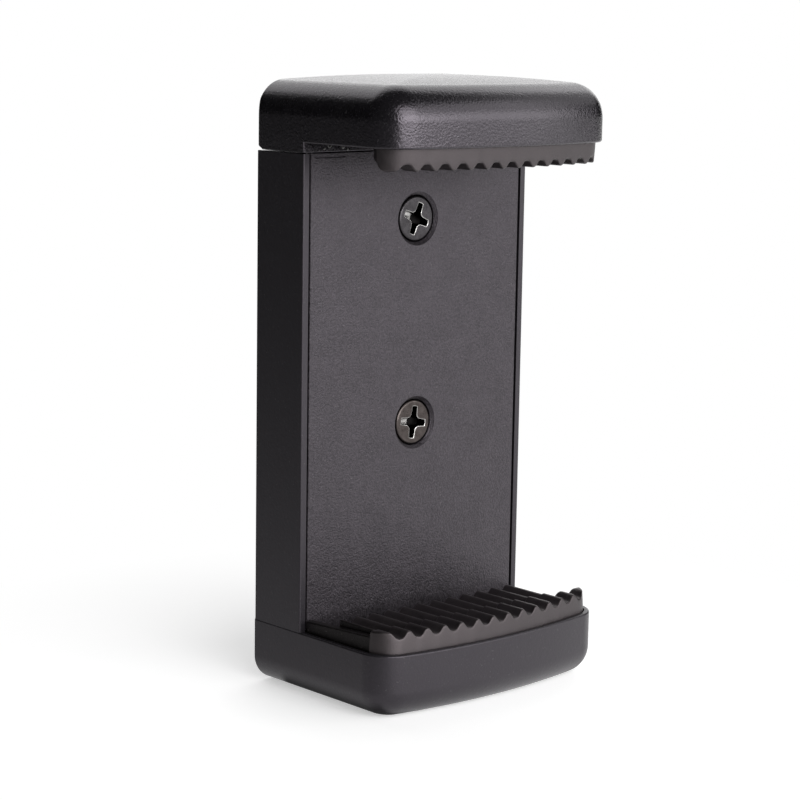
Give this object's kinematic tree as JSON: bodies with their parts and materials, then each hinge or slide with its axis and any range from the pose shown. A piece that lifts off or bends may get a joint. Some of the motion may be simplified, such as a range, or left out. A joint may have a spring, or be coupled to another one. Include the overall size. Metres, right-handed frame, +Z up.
{
  "type": "spring phone clamp",
  "caption": "Tall narrow holder with two bowed jaws and ribbed rubber pads; the sprung upper jaw slides up along a flat screwed back to grip a phone.",
  "frame": {"origin": "centre of the bounding box's underside, on the axis of the tripod insert", "axes": "+Z up from the lower jaw to the sliding upper jaw, -Y from the back towards the front of the jaws, X across the width"},
  "size_m": [0.037, 0.026, 0.0752],
  "materials": {
    "housing_black": "satin",
    "cover_grey": "fine grain",
    "jaw_black": "semi-gloss, fine grain",
    "slider_black": "satin",
    "pad_rubber": "matt",
    "screw_gunmetal": "dark plated",
    "spring_steel": "bright",
    "insert_brass": "turned"
  },
  "bodies": {
    "base": {"rear_housing": "housing_black", "front_cover": "cover_grey", "cover_screw_lower": "screw_gunmetal", "cover_screw_upper": "screw_gunmetal", "guide_rod_left": "spring_steel", "guide_rod_right": "spring_steel", "spring_left": "spring_steel", "spring_right": "spring_steel", "lower_pad": "pad_rubber", "tripod_insert": "insert_brass"},
    "jaw": {"slider": "slider_black", "upper_jaw": "jaw_black", "jaw_screw_left": "screw_gunmetal", "jaw_screw_right": "screw_gunmetal", "upper_pad": "pad_rubber"}
  },
  "joints": [
    {"name": "jaw_slide", "type": "slide", "parent": "base", "child": "jaw", "axis": [0, 0, 1], "range_m": [0, 0.027], "stiffness_N_per_m": 474, "springref_m": -0.0175, "deforming": ["spring_left", "spring_right"]}
  ]
}
